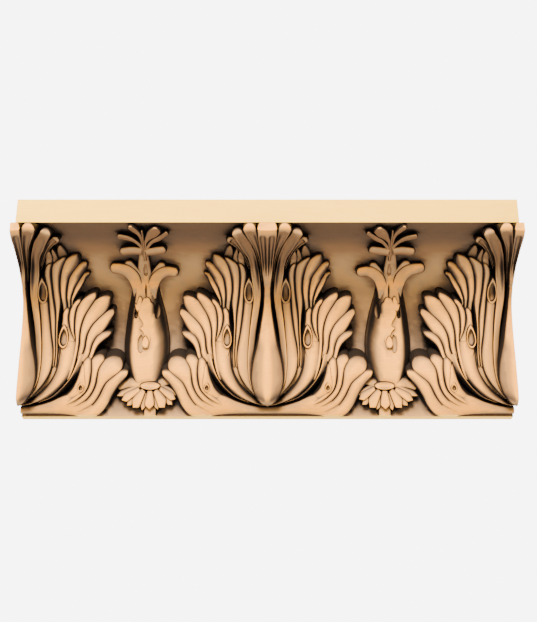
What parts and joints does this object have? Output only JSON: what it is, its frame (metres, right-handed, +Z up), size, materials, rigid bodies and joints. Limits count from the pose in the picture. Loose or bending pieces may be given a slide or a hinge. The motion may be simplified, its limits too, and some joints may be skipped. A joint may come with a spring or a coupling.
{
  "type": "carved frieze moulding",
  "caption": "Carved wooden frieze moulding for a wall, with a plain top band, a hollow face, acanthus leaves and calyx ornaments, and a flat back.",
  "frame": {"origin": "middle of the flat wall face at the back, half way up the moulding", "axes": "+X along the moulding, +Z up, the carved front faces -Y and the wall is on the +Y side"},
  "size_m": [0.387, 0.1013, 0.15],
  "materials": {
    "wood": "satin"
  },
  "bodies": {
    "root": {"frieze_moulding": "wood"}
  },
  "joints": []
}
